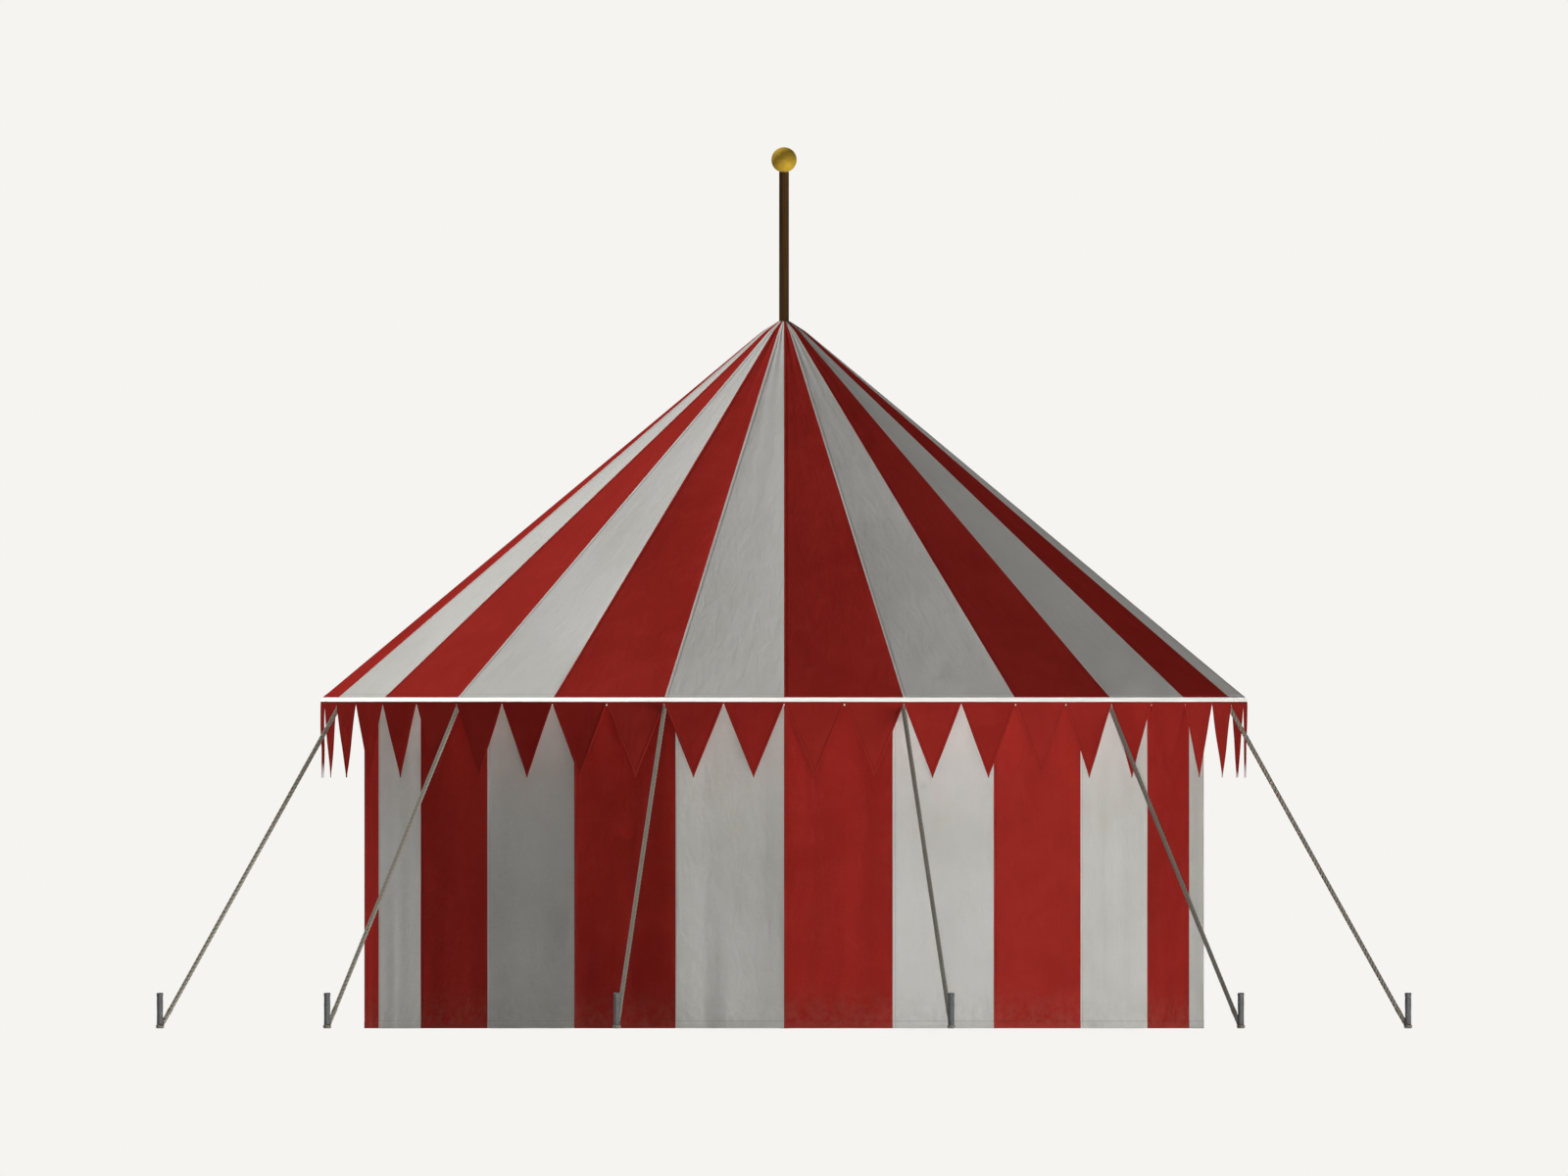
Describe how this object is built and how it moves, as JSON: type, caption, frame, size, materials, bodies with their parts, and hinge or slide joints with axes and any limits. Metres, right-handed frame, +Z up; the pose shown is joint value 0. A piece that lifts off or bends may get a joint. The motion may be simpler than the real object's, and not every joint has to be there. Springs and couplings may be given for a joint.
{
  "type": "round medieval tent",
  "caption": "Round pavilion with red and off-white striped canvas roof and wall, dagged red valance, centre pole with gilt ball, and guy ropes pegged to iron stakes.",
  "frame": {"origin": "on the ground, at the centre of the pole's foot", "axes": "+Z up along the centre pole; -Y is the front, the side seen in the picture, with a seam between a white and a red panel facing it; +X is to the right seen from the front"},
  "size_m": [7.4944, 7.4944, 5.253],
  "materials": {
    "striped_canvas": "heavy woven cotton canvas, panels alternating madder red and off-white",
    "red_canvas": "heavy woven cotton canvas, madder red",
    "eave_tape": "off-white woven cotton tape, stitched",
    "pole_wood": "dark stained ash, oiled",
    "gilt": "gilded, satin",
    "rope_fibre": "three-strand laid natural fibre, weathered grey",
    "iron": "forged iron, dark grey"
  },
  "bodies": {
    "root": {"roof_front": "striped_canvas", "roof_front_right": "striped_canvas", "roof_back_right": "striped_canvas", "roof_back": "striped_canvas", "roof_back_left": "striped_canvas", "roof_front_left": "striped_canvas", "wall_front": "striped_canvas", "wall_front_right": "striped_canvas", "wall_back_right": "striped_canvas", "wall_back": "striped_canvas", "wall_back_left": "striped_canvas", "wall_front_left": "striped_canvas", "eave_band": "eave_tape", "valance_front": "red_canvas", "valance_front_right": "red_canvas", "valance_back_right": "red_canvas", "valance_back": "red_canvas", "valance_back_left": "red_canvas", "valance_front_left": "red_canvas", "centre_pole": "pole_wood", "finial_ball": "gilt", "guy_rope_01": "rope_fibre", "stake_01": "iron", "guy_rope_02": "rope_fibre", "stake_02": "iron", "guy_rope_03": "rope_fibre", "stake_03": "iron", "guy_rope_04": "rope_fibre", "stake_04": "iron", "guy_rope_05": "rope_fibre", "stake_05": "iron", "guy_rope_06": "rope_fibre", "stake_06": "iron", "guy_rope_07": "rope_fibre", "stake_07": "iron", "guy_rope_08": "rope_fibre", "stake_08": "iron", "guy_rope_09": "rope_fibre", "stake_09": "iron", "guy_rope_10": "rope_fibre", "stake_10": "iron", "guy_rope_11": "rope_fibre", "stake_11": "iron", "guy_rope_12": "rope_fibre", "stake_12": "iron"}
  },
  "joints": []
}
